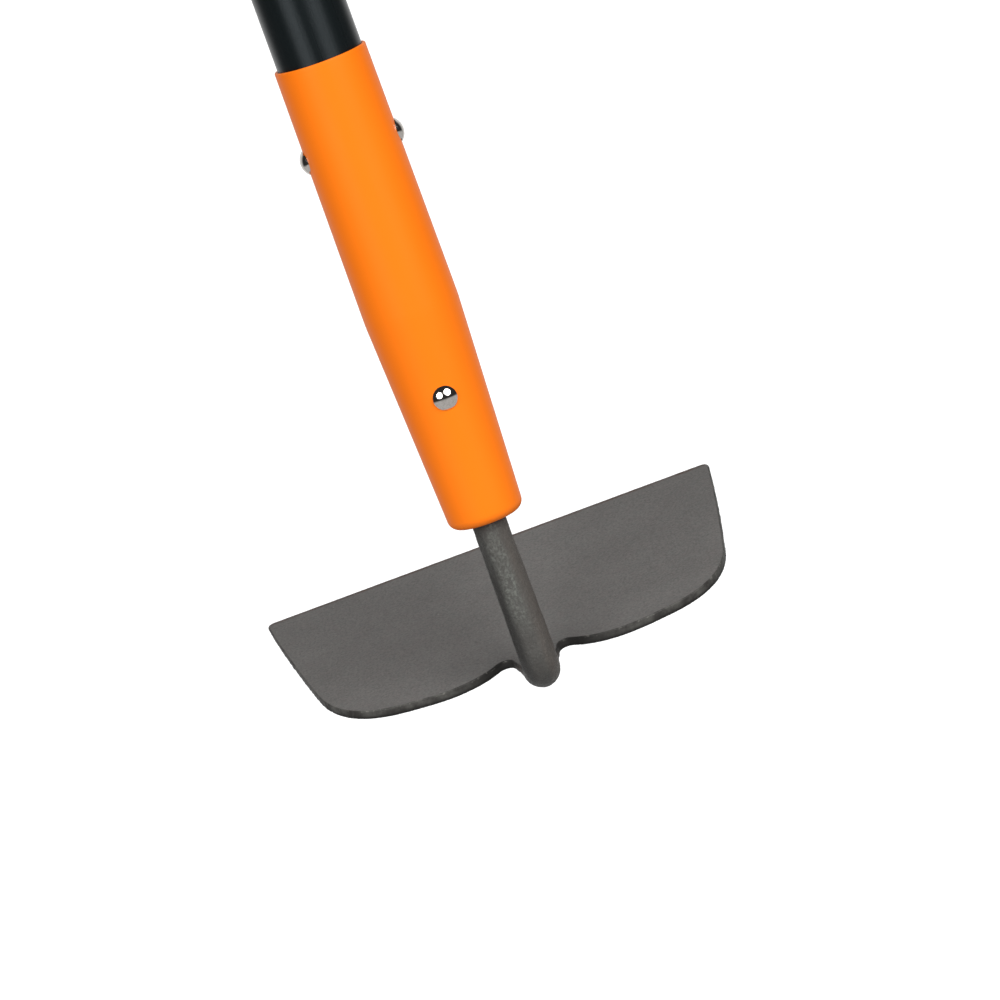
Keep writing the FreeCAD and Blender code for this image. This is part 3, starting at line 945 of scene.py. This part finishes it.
def tube_enamel():
    """Black satin enamel on drawn tube, with faint lines along it."""
    material, tree, shader = new_paint("tube_enamel")
    lines = grain(tree, 0.7 * MM, detail=3.0, roughness=0.6, stretch=(1, 1, 90))
    fine = grain(tree, 0.4 * MM, detail=2.0)
    grit = remap(tree, grain(tree, 0.55 * MM, detail=3.0, roughness=0.7), 0.35, 0.65)
    colour = between(tree, lines, TUBE_BLACK, TUBE_LINE)
    colour = between(tree, times(tree, grit, 0.5), colour, TUBE_GRIT)
    tree.links.new(colour, shader.inputs["Base Color"])
    tree.links.new(remap(tree, lines, 0.3, 0.7, 0.27, 0.33), shader.inputs["Roughness"])
    shader.inputs["Specular Tint"].default_value = TUBE_SHEEN
    shader.inputs["Specular IOR Level"].default_value = 0.35
    shader.inputs["Anisotropic"].default_value = 0.8
    shader.inputs["Anisotropic Rotation"].default_value = 0.25
    small = bump(tree, fine, 0.010 * MM, 0.4)
    tree.links.new(bump(tree, grit, 0.012 * MM, 0.5, small), shader.inputs["Normal"])
    return material


def rivet_metal():
    """Polished steel with faint specks."""
    material, tree, shader = new_paint("rivet_metal")
    specks = remap(tree, grain(tree, 0.8 * MM, roughness=0.7), 0.45, 0.75)
    tree.links.new(between(tree, specks, STEEL_BRIGHT, STEEL_DULL), shader.inputs["Base Color"])
    tree.links.new(remap(tree, specks, 0.0, 1.0, 0.07, 0.16), shader.inputs["Roughness"])
    shader.inputs["Metallic"].default_value = 1.0
    tree.links.new(bump(tree, specks, 0.01 * MM, 0.2), shader.inputs["Normal"])
    return material


def soft_rubber():
    """Matt black rubber with a coarse skin."""
    material, tree, shader = new_paint("soft_rubber")
    clouds = remap(tree, grain(tree, 18 * MM), 0.3, 0.7)
    fine = grain(tree, 0.5 * MM, detail=3.0, roughness=0.7)
    tree.links.new(between(tree, clouds, RUBBER_DARK, RUBBER_PALE), shader.inputs["Base Color"])
    tree.links.new(remap(tree, clouds, 0.0, 1.0, 0.62, 0.74), shader.inputs["Roughness"])
    tree.links.new(bump(tree, fine, 0.05 * MM, 0.6), shader.inputs["Normal"])
    return material


def moulded_black():
    """Satin black moulded plastic, for the end cap and the hidden core halves."""
    material, tree, shader = new_paint("moulded_black")
    clouds = remap(tree, grain(tree, 10 * MM), 0.3, 0.7)
    fine = grain(tree, 0.4 * MM, detail=3.0, roughness=0.6)
    tree.links.new(between(tree, clouds, PLASTIC_DARK, PLASTIC_PALE), shader.inputs["Base Color"])
    tree.links.new(remap(tree, clouds, 0.0, 1.0, 0.40, 0.50), shader.inputs["Roughness"])
    tree.links.new(bump(tree, fine, 0.03 * MM, 0.5), shader.inputs["Normal"])
    return material


# ---------------------------------------------------------------- the scene

make_camera()
make_world()
make_floor()
make_sun("left_source", azimuth=-35, elevation=23, strength=2.25, spread=42)
make_sun("right_source", azimuth=32, elevation=29, strength=3.2, spread=46)
bpy.context.scene.view_settings.view_transform = "Standard"

black_plastic = moulded_black()
make_blade(blade_paint())
make_neck(forged_paint())
make_weld(weld_paint())
make_ferrule(ferrule_plastic())
make_tube(tube_enamel())
rivet_steel = rivet_metal()
make_rivet("upper_rivet", 0, rivet_steel)
make_rivet("lower_rivet", 1, rivet_steel)
make_grip(soft_rubber())
make_cap(black_plastic)
for hidden in ("core_half_left", "core_half_right"):
    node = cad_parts[hidden]
    node.data.materials.clear()
    node.data.materials.append(black_plastic)
